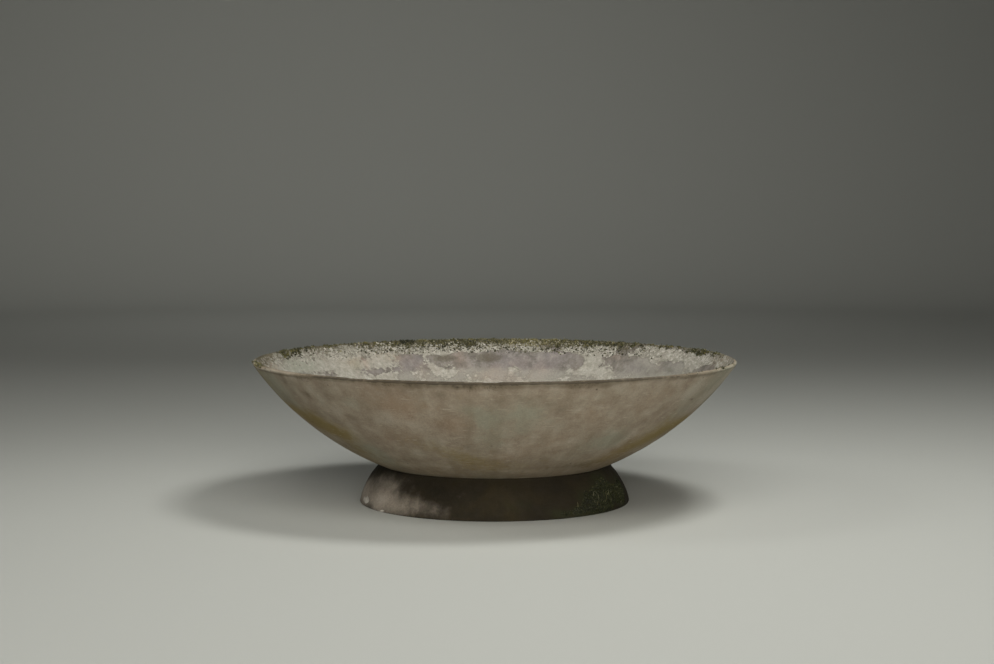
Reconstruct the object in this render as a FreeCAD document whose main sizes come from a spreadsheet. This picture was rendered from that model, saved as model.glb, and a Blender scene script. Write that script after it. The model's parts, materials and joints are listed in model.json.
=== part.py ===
import FreeCAD, Part
import Sketcher

import enum
import os

# A shallow round planter bowl of fibre cement, standing on a separate ring of the same material.
# Frame: +Z up, origin on the floor at the centre of the ring. Lengths are in millimetres.

# Driving dimensions: name, value and what it measures.
SIZES = (
    ("rim_diameter", 1200, "across the outer edge of the bowl's rim, before it is rounded"),
    ("bowl_depth", 313, "from the underside's lowest point up to the outer edge of the rim"),
    ("bowl_wall", 10, "thickness of the bowl's shell"),
    ("lip_rounding", 3, "worn rounding of both edges of the rim's lip"),
    ("drain_diameter", 30, "drain hole in the bottom of the bowl"),
    ("foot_height", 94, "from the floor to the foot ring's top outer edge"),
    ("foot_base_diameter", 674, "across the foot ring where it meets the floor"),
    ("foot_top_diameter", 568, "across the foot ring's top outer edge"),
    ("foot_bulge", 9, "how far the foot ring's flank swells past a straight cone"),
    ("foot_wall", 12, "thickness of the foot ring's shell"),
    ("foot_base_rounding", 3, "rounding of both edges of the foot ring's base"),
    ("foot_top_rounding", 2, "rounding of the foot ring's top outer edge"),
    ("seat_clearance", 0.3, "gap between the bowl's underside and the foot ring's seat"),
)

# A rounding takes at most this share of the wall that it is on.
ROUNDING_SHARE = 0.4
# Edges count as level with each other within this share of the foot ring's height.
SAME_LEVEL_SHARE = 0.001
FULL_TURN = 360
LITRE = 1e6

# Derived sizes, as expressions on the sheet of driving dimensions.
RIM_RADIUS = "<<sizes>>.rim_diameter / 2"
BASE_RADIUS = "<<sizes>>.foot_base_diameter / 2"
TOP_RADIUS = "<<sizes>>.foot_top_diameter / 2"
# The bowl is part of a sphere: its radius follows from the rim's radius and the depth.
BOWL_RADIUS = f"(({RIM_RADIUS})^2 + <<sizes>>.bowl_depth^2) / (2 * <<sizes>>.bowl_depth)"
# The foot ring's seat is part of a sphere about the same centre, a clearance larger.
SEAT_RADIUS = f"({BOWL_RADIUS} + <<sizes>>.seat_clearance)"
# Height of the bowl's lowest point at rest: the seat's sphere goes through the ring's top edge.
REST_HEIGHT = f"<<sizes>>.foot_height + sqrt({SEAT_RADIUS}^2 - ({TOP_RADIUS})^2) - {BOWL_RADIUS}"
# The flank is an arc, whose radius follows from its chord and its bulge.
FLANK_CHORD_SQUARED = f"(({BASE_RADIUS} - {TOP_RADIUS})^2 + <<sizes>>.foot_height^2)"
FLANK_RADIUS = f"({FLANK_CHORD_SQUARED} / (8 * <<sizes>>.foot_bulge) + <<sizes>>.foot_bulge / 2)"


class Own(enum.IntEnum):
    """A sketch's own lines: the first is both its X axis and the holder of its origin."""

    X_AXIS = -1
    Z_AXIS = -2


class Spot(enum.IntEnum):
    """The points of a line or an arc. The origin is the start of the X axis."""

    START = 1
    END = 2
    CENTRE = 3


ORIGIN = (Own.X_AXIS, Spot.START)


def make_sheet(doc):
    """The sheet of driving dimensions, one row each: name, value and meaning."""
    sheet = doc.addObject("Spreadsheet::Sheet", "sizes")
    for row, (name, value, meaning) in enumerate(SIZES, start=1):
        sheet.set(f"A{row}", name)
        sheet.set(f"B{row}", str(value))
        sheet.set(f"C{row}", meaning)
        sheet.setAlias(f"B{row}", name)
    doc.recompute()
    return sheet


def make_body(doc, label):
    """An empty body with that label."""
    body = doc.addObject("PartDesign::Body", label)
    body.Label = label
    return body


def make_sketch(body, name, plane):
    """A sketch on one of the body's own origin planes."""
    sketch = body.newObject("Sketcher::SketchObject", name)
    support = next(f for f in body.Origin.OriginFeatures if f.Role == plane)
    sketch.AttachmentSupport = (support, "")
    sketch.MapMode = "FlatFace"
    return sketch


def constrain(sketch, *constraint):
    """Adds one constraint."""
    sketch.addConstraint(Sketcher.Constraint(*constraint))


def dimension(sketch, name, expression, kind, *where):
    """Adds a named dimension that follows an expression on the sheet."""
    value = sketch.evalExpression(expression)
    index = sketch.addConstraint(Sketcher.Constraint(kind, *where, float(value)))
    sketch.renameConstraint(index, name)
    sketch.setExpression(f"Constraints.{name}", expression)


def arc(centre, start, end):
    """The anticlockwise arc about a centre, from a start point round to the direction of an end point."""
    circle = Part.Circle(centre, FreeCAD.Vector(0, 0, 1), (start - centre).Length)
    return Part.ArcOfCircle(circle, circle.parameter(start), circle.parameter(end))


def revolve(body, sketch, name):
    """Turns a half section all the way round the vertical axis."""
    turned = body.newObject("PartDesign::Revolution", name)
    turned.Profile = sketch
    turned.ReferenceAxis = (sketch, ["V_Axis"])
    turned.Angle = FULL_TURN
    body.Document.recompute()
    return turned


def round_edges(body, base, name, edges, radius, wall):
    """Rounds the given edges, by no more than their wall can give."""
    fillet = body.newObject("PartDesign::Fillet", name)
    fillet.Base = (base, edges)
    fillet.setExpression("Radius", f"min({radius}; {ROUNDING_SHARE} * {wall})")
    body.Document.recompute()
    return fillet


def circles_where(feature, test):
    """Names of the feature's round edges whose radius and height pass a test."""
    names = []
    for number, edge in enumerate(feature.Shape.Edges, start=1):
        if isinstance(edge.Curve, Part.Circle) and edge.isClosed():
            if test(edge.Curve.Radius, edge.Curve.Center.z):
                names.append(f"Edge{number}")
    return names


def draw_bowl_section(sketch):
    """Half section of the bowl: two arcs about one centre, a lip cut square to the wall, and the axis."""
    rim = float(sketch.evalExpression(RIM_RADIUS))
    depth = float(sketch.evalExpression("<<sizes>>.bowl_depth"))
    wall = float(sketch.evalExpression("<<sizes>>.bowl_wall"))
    radius = float(sketch.evalExpression(BOWL_RADIUS))
    centre = FreeCAD.Vector(0, radius, 0)
    outer_bottom = FreeCAD.Vector(0, 0, 0)
    outer_rim = FreeCAD.Vector(rim, depth, 0)
    inner_bottom = FreeCAD.Vector(0, wall, 0)
    inner_rim = outer_rim + (centre - outer_rim).normalize() * wall

    underside = sketch.addGeometry(arc(centre, outer_bottom, outer_rim))
    inside = sketch.addGeometry(arc(centre, inner_bottom, inner_rim))
    lip = sketch.addGeometry(Part.LineSegment(outer_rim, inner_rim))
    axis = sketch.addGeometry(Part.LineSegment(inner_bottom, outer_bottom))

    constrain(sketch, "Coincident", underside, Spot.END, lip, Spot.START)
    constrain(sketch, "Coincident", lip, Spot.END, inside, Spot.END)
    constrain(sketch, "Coincident", inside, Spot.START, axis, Spot.START)
    constrain(sketch, "Coincident", axis, Spot.END, underside, Spot.START)
    constrain(sketch, "Coincident", underside, Spot.START, *ORIGIN)
    constrain(sketch, "PointOnObject", inside, Spot.START, Own.Z_AXIS)
    constrain(sketch, "PointOnObject", underside, Spot.CENTRE, Own.Z_AXIS)
    constrain(sketch, "Coincident", inside, Spot.CENTRE, underside, Spot.CENTRE)
    constrain(sketch, "PointOnObject", underside, Spot.CENTRE, lip)
    dimension(sketch, "rim_radius", RIM_RADIUS, "DistanceX", *ORIGIN, underside, Spot.END)
    dimension(sketch, "depth", "<<sizes>>.bowl_depth", "DistanceY", *ORIGIN, underside, Spot.END)
    dimension(sketch, "wall", "<<sizes>>.bowl_wall", "DistanceY", axis, Spot.END, axis, Spot.START)


def make_bowl(doc):
    """The bowl: a spherical shell with a drain hole, lifted to where it rests on the foot ring."""
    body = make_body(doc, "bowl")
    section = make_sketch(body, "bowl_section", "XZ_Plane")
    draw_bowl_section(section)
    shell = revolve(body, section, "bowl_shell")

    drain_outline = make_sketch(body, "drain_outline", "XY_Plane")
    hole = drain_outline.addGeometry(Part.Circle(FreeCAD.Vector(0, 0, 0), FreeCAD.Vector(0, 0, 1), 1))
    constrain(drain_outline, "Coincident", hole, Spot.CENTRE, *ORIGIN)
    dimension(drain_outline, "drain", "<<sizes>>.drain_diameter", "Diameter", hole)
    drain = body.newObject("PartDesign::Pocket", "drain_hole")
    drain.Profile = drain_outline
    drain.Type = "ThroughAll"
    drain.Reversed = True
    doc.recompute()
    if not drain.Shape.Volume < shell.Shape.Volume:
        raise RuntimeError("the drain hole cuts nothing")

    # The lip's two edges are the only round edges above half the bowl's depth.
    half_depth = float(section.evalExpression("<<sizes>>.bowl_depth")) / 2
    lip_edges = circles_where(drain, lambda radius, height: height > half_depth)
    round_edges(body, drain, "lip_edges", lip_edges, "<<sizes>>.lip_rounding", "<<sizes>>.bowl_wall")
    body.setExpression("Placement.Base.z", REST_HEIGHT)
    return body


def draw_foot_section(sketch):
    """Section of the foot ring: a bulging flank of even thickness, a flat base and a round seat."""
    base = float(sketch.evalExpression(BASE_RADIUS))
    top = float(sketch.evalExpression(TOP_RADIUS))
    height = float(sketch.evalExpression("<<sizes>>.foot_height"))
    wall = float(sketch.evalExpression("<<sizes>>.foot_wall"))
    bulge = float(sketch.evalExpression("<<sizes>>.foot_bulge"))
    flank_radius = float(sketch.evalExpression(FLANK_RADIUS))
    seat_radius = float(sketch.evalExpression(SEAT_RADIUS))

    base_outer = FreeCAD.Vector(base, 0, 0)
    top_outer = FreeCAD.Vector(top, height, 0)
    outward = FreeCAD.Vector(height, base - top, 0).normalize()
    flank_centre = (base_outer + top_outer) * 0.5 - outward * (flank_radius - bulge)
    # First guesses at the inner corners, one wall in: the constraints then place them exactly.
    base_inner = base_outer - FreeCAD.Vector(wall, 0, 0)
    top_inner = top_outer + (flank_centre - top_outer).normalize() * wall
    seat_centre = FreeCAD.Vector(0, height + (seat_radius**2 - top**2) ** 0.5, 0)

    outer = sketch.addGeometry(arc(flank_centre, base_outer, top_outer))
    inner = sketch.addGeometry(arc(flank_centre, base_inner, top_inner))
    seat = sketch.addGeometry(arc(seat_centre, top_inner, top_outer))
    floor = sketch.addGeometry(Part.LineSegment(base_inner, base_outer))

    constrain(sketch, "Coincident", floor, Spot.END, outer, Spot.START)
    constrain(sketch, "Coincident", outer, Spot.END, seat, Spot.END)
    constrain(sketch, "Coincident", seat, Spot.START, inner, Spot.END)
    constrain(sketch, "Coincident", inner, Spot.START, floor, Spot.START)
    constrain(sketch, "Coincident", inner, Spot.CENTRE, outer, Spot.CENTRE)
    constrain(sketch, "PointOnObject", floor, Spot.START, Own.X_AXIS)
    constrain(sketch, "PointOnObject", floor, Spot.END, Own.X_AXIS)
    constrain(sketch, "PointOnObject", seat, Spot.CENTRE, Own.Z_AXIS)
    dimension(sketch, "base_radius", BASE_RADIUS, "DistanceX", *ORIGIN, outer, Spot.START)
    dimension(sketch, "top_radius", TOP_RADIUS, "DistanceX", *ORIGIN, outer, Spot.END)
    dimension(sketch, "height", "<<sizes>>.foot_height", "DistanceY", *ORIGIN, outer, Spot.END)
    dimension(sketch, "flank_radius", FLANK_RADIUS, "Radius", outer)
    dimension(sketch, "inner_radius", f"{FLANK_RADIUS} - <<sizes>>.foot_wall", "Radius", inner)
    dimension(sketch, "seat_radius", SEAT_RADIUS, "Radius", seat)


def make_foot_ring(doc):
    """The foot ring: a hollow band, open above and below, with a seat that cradles the bowl."""
    body = make_body(doc, "foot_ring")
    section = make_sketch(body, "foot_section", "XZ_Plane")
    draw_foot_section(section)
    band = revolve(body, section, "foot_band")

    height = float(section.evalExpression("<<sizes>>.foot_height"))
    near = height * SAME_LEVEL_SHARE
    base_edges = circles_where(band, lambda radius, level: abs(level) < near)
    wall = "<<sizes>>.foot_wall"
    based = round_edges(body, band, "base_edges", base_edges, "<<sizes>>.foot_base_rounding", wall)
    top_edges = circles_where(based, lambda radius, level: abs(level - height) < near)
    round_edges(body, based, "top_edge", top_edges, "<<sizes>>.foot_top_rounding", wall)
    return body


def check(doc, bodies):
    """Stops the build if an object failed, a sketch is loose or a piece is not one sound solid."""
    for item in doc.Objects:
        if "Invalid" in item.State or "Error" in item.State:
            raise RuntimeError(f"{item.Label} failed: {item.State}")
        if item.isDerivedFrom("Sketcher::SketchObject") and item.solve() != 0:
            raise RuntimeError(f"the sketch {item.Label} has no solution")
    for body in bodies:
        shape = body.Shape
        if shape.isNull() or not shape.isValid() or len(shape.Solids) != 1:
            raise RuntimeError(f"{body.Label} is not one sound solid")


def main():
    doc = FreeCAD.newDocument("planter")
    make_sheet(doc)
    bodies = [make_foot_ring(doc), make_bowl(doc)]
    doc.recompute()
    check(doc, bodies)
    os.makedirs("parts", exist_ok=True)
    for body in bodies:
        body.Shape.exportStep(f"parts/{body.Label}.step")
        box = body.Shape.optimalBoundingBox(False)
        print(f"{body.Label}: {box.XLength:.1f} x {box.YLength:.1f} x {box.ZLength:.1f} mm,", end=" ")
        print(f"from {box.ZMin:.2f} to {box.ZMax:.2f} mm high, {body.Shape.Volume / LITRE:.3f} litres")


main()
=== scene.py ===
# %% [markdown]
# # A weathered fibre cement planter
# The real object is two pieces that were moulded by hand from wet fibre cement: a wide bowl with a wall
# about a centimetre thick, and a low ring that the bowl just rests on. Years outdoors gave it everything
# that makes it interesting to look at: stains, lime, moss and worn edges. The CAD frame already holds
# the true shape and size. This lesson keeps that shape and dresses it: first as surfaces worked out with
# numpy, then with growth on them, then with finishes.

# %% Load the frame
import itertools
import json

import bpy
import numpy as np
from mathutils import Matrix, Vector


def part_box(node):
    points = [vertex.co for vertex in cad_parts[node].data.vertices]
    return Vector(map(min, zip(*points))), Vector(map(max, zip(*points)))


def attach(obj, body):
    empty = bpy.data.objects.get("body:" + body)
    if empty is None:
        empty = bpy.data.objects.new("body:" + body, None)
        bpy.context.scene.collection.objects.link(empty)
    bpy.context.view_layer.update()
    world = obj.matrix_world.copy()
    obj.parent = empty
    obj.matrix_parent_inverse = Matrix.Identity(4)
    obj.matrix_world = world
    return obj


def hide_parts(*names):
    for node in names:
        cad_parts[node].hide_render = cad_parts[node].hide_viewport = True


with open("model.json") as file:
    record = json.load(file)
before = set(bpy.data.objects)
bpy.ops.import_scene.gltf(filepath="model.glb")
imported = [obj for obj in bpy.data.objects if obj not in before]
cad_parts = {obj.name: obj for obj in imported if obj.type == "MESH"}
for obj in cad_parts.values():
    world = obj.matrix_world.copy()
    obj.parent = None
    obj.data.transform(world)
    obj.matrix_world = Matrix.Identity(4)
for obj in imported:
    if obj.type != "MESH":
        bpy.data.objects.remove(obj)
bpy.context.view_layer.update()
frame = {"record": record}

# %% [markdown]
# ## Sizes
# A dressed piece has to sit exactly where its CAD node sits, so the sizes start from the frame. The
# bowl is part of a sphere: the rim's radius and the depth give the sphere's radius, and the CAD node's
# lowest point gives its height. The same few numbers could be typed in for every piece, but one set
# that all pieces share cannot disagree.

# %% Sizes of the bowl and the ring
MM = 0.001
RIM_RADIUS = 600 * MM
BOWL_DEPTH = 313 * MM
BOWL_WALL = 10 * MM
LIP_ROUNDING = 3 * MM
FOOT_TOP_RADIUS = 284 * MM

drain_mount = next(m for m in frame["record"]["mounts"] if m["name"] == "drain")
drain_radius = drain_mount["dims"]["r_mm"] * MM
bowl_low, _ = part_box("bowl")
_, ring_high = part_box("foot_ring")
foot_base_radius = ring_high.x
foot_height = ring_high.z

sphere_radius = (RIM_RADIUS**2 + BOWL_DEPTH**2) / (2 * BOWL_DEPTH)
sphere_height = bowl_low.z + (sphere_radius**2 - drain_radius**2) ** 0.5
rim_angle = np.arcsin(RIM_RADIUS / sphere_radius)
drain_angle = np.arcsin(drain_radius / sphere_radius)
meridian = (rim_angle - drain_angle) * sphere_radius
print(f"bowl: sphere of {sphere_radius:.4f} m, its centre {sphere_height:.4f} m up")
print(f"bowl: {meridian:.3f} m along the wall from lip to drain")
print(f"ring: {foot_base_radius:.3f} m in radius at the floor, {foot_height:.3f} m high")

# %% [markdown]
# ## Smooth noise on whole arrays
# Nothing that weather makes is even. Most of the unevenness here comes from one function: random
# numbers on a lattice in space, blended between the lattice's corners. Blender has noise textures and a
# noise module of its own, but the texture cannot move vertices without a modifier, and the module works
# on one point at a time. A numpy version works on every vertex at once, and because it is noise in
# space it has no seam where a round surface meets itself.

# %% Noise helpers
# Large odd numbers that scatter neighbouring corners of the lattice over all 32-bit words.
LATTICE_STEPS = np.array([73856093, 19349663, 83492791], np.int64)
SEED_STEP = 2654435761
SCRAMBLE = 1274126177
WORD = 0xFFFFFFFF


def lattice_noise(places, seed):
    """Smooth noise from -1 to 1: the eight random corners of a point's unit cell, blended by an s-curve."""
    cell = np.floor(places)
    part = places - cell
    curve = part**3 * (part * (part * 6 - 15) + 10)
    cell = cell.astype(np.int64)
    total = np.zeros(len(places))
    for corner in itertools.product((0, 1), repeat=3):
        key = ((cell + corner) * LATTICE_STEPS).sum(1) + seed * SEED_STEP & WORD
        key = (key ^ key >> 13) * SCRAMBLE & WORD
        key = (key ^ key >> 16) * SCRAMBLE & WORD
        share = np.where(corner, curve, 1 - curve).prod(1)
        total += share * ((key ^ key >> 15) * (2 / WORD) - 1)
    return total


def rough_noise(places, size, octaves, seed):
    """Octaves of noise added up, from `size` down, each half as wide and half as strong as the last."""
    layers = [lattice_noise(places * (2**n / size), seed + n) * 0.5**n for n in range(octaves)]
    return sum(layers) / sum(0.5**n for n in range(octaves))


def rise(values, low, high):
    """0 before low, 1 past high and an s-curve between. With high under low it falls instead."""
    part = np.clip((values - low) / (high - low), 0, 1)
    return part * part * (3 - 2 * part)


def blots(azimuth, down, table, radius=RIM_RADIUS):
    """Soft oval spots added up: each is its strength times the bell curve of its distance, aside and down.

    A row is degrees round, mm down (or up, on the ring), half width and half height in mm, and strength.
    """
    total = np.zeros_like(azimuth)
    for degrees, level, half_width, half_height, strength in table:
        turn = np.angle(np.exp(1j * (azimuth - np.radians(degrees))))
        aside = turn * radius / (half_width * MM)
        lower = (down - level * MM) / (half_height * MM)
        total += strength * np.exp(-(aside**2) - lower**2)
    return total


print("noise at three points:", rough_noise(np.eye(3) * 0.37, 0.1, 4, 1).round(3))

# %% [markdown]
# ## Meshes from grids
# Both pieces close on themselves twice: once round the axis and once round the wall, from the outside
# over the edge to the inside and back. That is a torus, however flat it looks, so a grid whose last row
# and column join the first ones makes a closed skin with no poles. The grid's own two parameters also
# make a clean UV map: the surface unrolled.

# %% Mesh helpers
BAKE_MAP = "OFBake"


def grid_faces(rows, columns):
    """Quads of a grid that wraps round both ways, as vertex numbers."""
    corner = np.arange(rows * columns).reshape(rows, columns)
    beside = np.roll(corner, -1, 1)
    return np.stack([corner, beside, np.roll(beside, -1, 0), np.roll(corner, -1, 0)], -1).reshape(-1, 4)


def grid_map(rows, columns):
    """UV of each face corner of that grid: columns across, rows up, with no jump at the joining faces."""
    row, column = np.mgrid[0:rows, 0:columns]
    across = np.stack([column, column + 1, column + 1, column], -1) / columns
    up = np.stack([row, row, row + 1, row + 1], -1) / rows
    return np.stack([across, up], -1).reshape(-1, 2)


def enclosed_volume(places, faces):
    """Volume inside a closed skin: each face's fan of triangles, with the origin, is a thin tetrahedron."""
    fans = [faces[:, [0, n, n + 1]] for n in range(1, faces.shape[1] - 1)]
    corners = places[np.concatenate(fans)]
    return np.einsum("ij,ij->i", corners[:, 0], np.cross(corners[:, 1], corners[:, 2])).sum() / 6


def make_piece(name, places, faces, unrolled, attributes, body, smooth=True):
    """A mesh object at the origin, faces outwards, that rides on a body."""
    volume = enclosed_volume(places, faces)
    if volume < 0:
        faces = faces[:, ::-1]
        unrolled = unrolled.reshape(*faces.shape, 2)[:, ::-1].reshape(-1, 2)
    mesh = bpy.data.meshes.new(name)
    mesh.from_pydata(places, [], faces.tolist())
    mesh.polygons.foreach_set("use_smooth", np.full(len(faces), smooth))
    mesh.uv_layers.new(name=BAKE_MAP).uv.foreach_set("vector", unrolled.astype(np.float32).ravel())
    for label, values in attributes.items():
        layer = mesh.attributes.new(label, "FLOAT", "POINT")
        layer.data.foreach_set("value", values.astype(np.float32))
    piece = bpy.data.objects.new(name, mesh)
    bpy.context.scene.collection.objects.link(piece)
    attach(piece, body)
    triangles = len(faces) * (faces.shape[1] - 2)
    print(f"{name}: {triangles} triangles, {abs(volume) * 1000:.3f} litres")
    return piece


print("a wrapped grid of 3 by 4 points has", len(grid_faces(3, 4)), "faces")

# %% [markdown]
# ## The bowl's shape
# A point of the bowl is told by three numbers: which way round it lies, how far it is below the lip
# along the wall, and how deep it is in from the outer face. With those, the outside is depth 0, the
# inside is one wall deep, and the lip is the walk from one to the other. A lathe (Blender's Screw
# modifier) would give the same bowl, but in these numbers weathering is easy to write: a chip adds to
# "below", and a crust adds to "depth".

# %% The bowl in its own three numbers
BOWL_VERTICES = 99_000
# Rows lie closest at the lip and on the crust under it, where there is most to see.
CRUST_ZONE = 130 * MM
LIP_STEP = 1.8 * MM
OUTSIDE_STEP = 3 * MM
CRUST_STEP = 6 * MM
BOTTOM_STEP = 24 * MM
LIP_POINTS = 4


def bowl_place(azimuth, below, depth):
    """Down the meridian from the lip by `below`, then in from the outer sphere by `depth`."""
    angle = rim_angle - below / sphere_radius
    reach = sphere_radius - depth
    out = reach * np.sin(angle)
    up = sphere_height - reach * np.cos(angle)
    return np.stack([out * np.cos(azimuth), out * np.sin(azimuth), up], -1)


def spaced_walk(fine, coarse, start, end):
    """Distances from start to end whose steps grow steadily from fine to coarse."""
    count = int(np.ceil(2 * (end - start) / (fine + coarse)))
    steps = np.linspace(fine, coarse, count)
    return start + np.concatenate([[0], np.cumsum(steps)]) * (end - start) / steps.sum()


def bowl_rows():
    """(below, depth) of each row: up the outside, over the lip, down the inside, through the drain."""
    outside = spaced_walk(OUTSIDE_STEP, BOTTOM_STEP, LIP_ROUNDING, meridian)[::-1]
    inside_near = spaced_walk(LIP_STEP, CRUST_STEP, LIP_ROUNDING, CRUST_ZONE)
    inside_far = spaced_walk(CRUST_STEP, BOTTOM_STEP, CRUST_ZONE, meridian)[1:]
    turn = np.radians(np.linspace(0, 90, LIP_POINTS))[1:]
    lip_down = LIP_ROUNDING * (1 - np.sin(turn))
    lip_in = LIP_ROUNDING * (1 - np.cos(turn))
    flat = np.linspace(LIP_ROUNDING, BOWL_WALL - LIP_ROUNDING, LIP_POINTS)[1:]
    inside = np.concatenate([inside_near, inside_far])
    below = np.concatenate([outside, lip_down, flat * 0, lip_down[-2::-1], inside])
    depth = np.concatenate([outside * 0, lip_in, flat, BOWL_WALL - lip_in[-2::-1], inside * 0 + BOWL_WALL])
    return below, depth


row_below, row_depth = bowl_rows()
bowl_columns = int(BOWL_VERTICES / len(row_below))
column_gap = RIM_RADIUS * 2 * np.pi / bowl_columns
print(f"{len(row_below)} rows by {bowl_columns} columns, {column_gap / MM:.1f} mm apart at the rim")

# %% [markdown]
# ## Where the weather has been
# Some marks belong to this one bowl: a bare patch here, an ochre blot there, and a few spots of
# painted light. They are written as soft oval spots, each placed where the real bowl shows it, by its
# direction (front is -90 degrees, right is 0) and its distance below the lip. An image mask would hold
# the same facts, but a short list can be read and changed.

# %% Spots on the outside of the bowl
STAIN_SPOTS = (
    (-98, 6, 230, 12, 0.60), (-68, 10, 90, 13, 0.60), (-38, 5, 120, 8, 0.50), (-132, 4, 80, 6, 0.40),
    (-108, 20, 50, 14, 0.30), (-88, 18, 40, 16, 0.25), (-140, 58, 12, 14, 0.70),
    (-147, 26, 14, 20, 0.45), (-137, 40, 9, 14, 0.50), (-98, 10, 7, 6, 0.60), (-95, 11, 6, 7, 0.60),
    (-33, 83, 30, 7, 0.60), (-49, 95, 34, 6, 0.50), (-75, 201, 4, 3, 1.00), (-152, 5, 150, 2.5, 0.60),
    # The spots at 335 and 340 mm down darken the low front right of the flank, just above the ring.
    (-52, 335, 110, 34, 0.60), (-66, 340, 90, 26, 0.40), (100, 10, 400, 14, 0.50),
)
OCHRE_SPOTS = (
    (-160, 130, 110, 26, 0.85), (-153, 165, 100, 34, 0.95), (-145, 192, 80, 40, 0.85),
    (-138, 206, 60, 34, 0.55), (-141, 280, 60, 40, 0.45), (-166, 60, 100, 50, 0.35),
    (-18, 172, 100, 26, 0.75), (-28, 192, 90, 34, 0.85), (-35, 235, 80, 36, 0.75),
    (-42, 275, 70, 40, 0.60), (-48, 325, 90, 30, 0.45), (-104, 240, 50, 26, 0.50),
    (-112, 215, 50, 30, 0.40), (-99, 275, 70, 28, 0.55), (-92, 318, 120, 34, 0.45),
    (40, 180, 120, 40, 0.60), (110, 120, 90, 50, 0.60), (70, 240, 140, 40, 0.50),
)
# Above 0 the cement has a rosy brown cast, below 0 a cool greenish grey one.
CAST_SPOTS = (
    (-114, 87, 60, 40, 0.50), (-105, 66, 50, 30, 0.40), (-101, 133, 60, 34, 0.50),
    (-118, 202, 70, 40, 0.45), (-68, 103, 50, 30, 0.45), (-62, 143, 50, 40, 0.50),
    (-82, 258, 80, 40, 0.45), (-96, 79, 40, 24, -0.50), (-92, 113, 36, 30, -0.55),
    (-125, 69, 30, 26, -0.50), (-83, 86, 50, 26, -0.45), (-133, 264, 40, 30, -0.45),
    (-52, 212, 50, 40, -0.40), (-40, 110, 60, 50, -0.30), (-160, 50, 110, 60, -0.80),
    (-22, 50, 100, 60, -0.70), (-14, 0, 130, 9, -1.20),
)
# Painted highlights: rows at -15, -20 and -36 degrees paint the lit right edge, rows 1 mm down the lit lip.
PALE_AND_LIT_SPOTS = (
    (-15, 28, 60, 36, 0.90), (-20, 78, 50, 40, 0.75), (-36, 55, 50, 34, 0.95), (-73, 57, 40, 14, 0.35),
    (-85, 106, 40, 16, 0.35), (-155, 1, 150, 4, 0.90), (-12, 1, 110, 5, 0.15),
    (-120, 130, 90, 50, 0.45),
)
outside_tables = (STAIN_SPOTS, OCHRE_SPOTS, CAST_SPOTS, PALE_AND_LIT_SPOTS)
print(f"{sum(map(len, outside_tables))} spots outside")

# %% [markdown]
# ## Marks inside
# Inside, most of what shows is lime: a whitish crust that came out of the cement, with bare patches
# where it fell off. Moss follows the rim, and the rest are tints: rosy, greenish, or warm near the two
# sides.

# %% Spots on the inside of the bowl
# Above 0 the crust has stayed on, below 0 it is gone.
LIME_SPOTS = (
    (105, 64, 40, 18, -0.55), (91, 64, 42, 20, -0.60), (97, 62, 30, 18, -0.35),
    (82, 62, 40, 18, -0.35), (76, 66, 36, 18, -0.30), (67.5, 62, 24, 20, -0.50),
    (48, 60, 70, 14, -0.35), (114, 56, 14, 14, -0.50), (62, 60, 30, 44, 0.60), (22, 34, 60, 24, 0.60),
    (33, 38, 60, 20, 0.55), (158, 40, 60, 26, 0.40), (121, 62, 60, 24, 0.35), (150, 66, 80, 30, 0.45),
    (112, 38, 80, 14, 0.25), (75, 34, 120, 10, 0.30), (84, 103, 14, 10, 0.60), (71, 47, 12, 3, 0.80),
    (41, 50, 30, 12, 0.50), (33, 66, 60, 20, 0.45), (143, 66, 60, 16, 0.40), (142, 86, 70, 16, 0.30),
    (128, 100, 70, 14, -0.70), (62, 104, 90, 14, 0.30),
)
MOSS_SPOTS = (
    (80, 8, 90, 9, 0.30), (27, 12, 50, 8, 0.50), (151, 14, 90, 12, -0.12), (112, 8, 160, 8, 0.10),
    (-95, 3, 480, 16, -0.90), (2, 8, 150, 24, -0.60), (174, 10, 110, 24, -0.60),
    (114.5, 5, 19, 4, 0.90), (131, 8, 100, 16, -0.30), (44, 12, 130, 18, -0.36),
)
FILM_SPOTS = (
    (44, 66, 90, 30, 0.7), (150, 70, 90, 34, 0.2), (25, 60, 60, 30, 0.5), (128, 100, 80, 16, -0.9),
)
INNER_WARM_SPOTS = (
    (131, 62, 50, 30, 0.5), (123, 30, 60, 20, 0.4), (119, 58, 60, 24, 0.45), (174, 14, 60, 40, 1.0),
    (6, 18, 110, 40, 0.7), (92, 112, 50, 20, 0.15),
)
INNER_CAST_SPOTS = (
    (129.5, 66, 12, 30, 0.9), (136, 50, 60, 24, 0.5), (100, 60, 26, 40, 0.4), (54, 48, 40, 14, 0.4),
    (91, 110, 80, 20, -0.1), (156, 44, 130, 34, -0.8), (132, 68, 24, 20, -0.6),
    (106, 62, 40, 20, -0.5), (92, 62, 40, 20, -0.5),
)
INNER_STAIN_SPOTS = (
    (104, 62, 36, 16, 0.85), (91.5, 63, 38, 16, 1.30), (67.5, 62, 18, 20, 0.35),
    (114, 54, 9, 12, 0.60), (57, 56, 10, 14, 0.50), (152, 16, 60, 8, 0.30), (176, 14, 60, 30, 1.00),
)
# How likely lime is to have stayed on, by mm below the lip.
LIME_HEIGHTS = (0, 14, 40, 52, 84, 108, 240, 420, 560)
LIME_LIKING = (0.05, 0.30, 0.26, -0.16, -0.14, 0.16, 0.14, 0.0, -0.25)
tint_tables = (INNER_WARM_SPOTS, INNER_CAST_SPOTS, INNER_STAIN_SPOTS)
inside_tables = (LIME_SPOTS, MOSS_SPOTS, FILM_SPOTS, *tint_tables)
print(f"{sum(map(len, inside_tables))} spots inside")

# %% [markdown]
# ## Fields
# The finishes and the relief have to agree: lime that looks white must also stand proud. So each effect
# is a field, worked out once at every vertex, which moves the surface and is stored on the mesh for the
# material to read. A field is noise, plus a preference for some heights, plus the spots. Fields can also
# be asked for at any point, which the moss needs later on.

# %% Fields of the bowl
LIME_PATCH = 75 * MM


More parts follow.
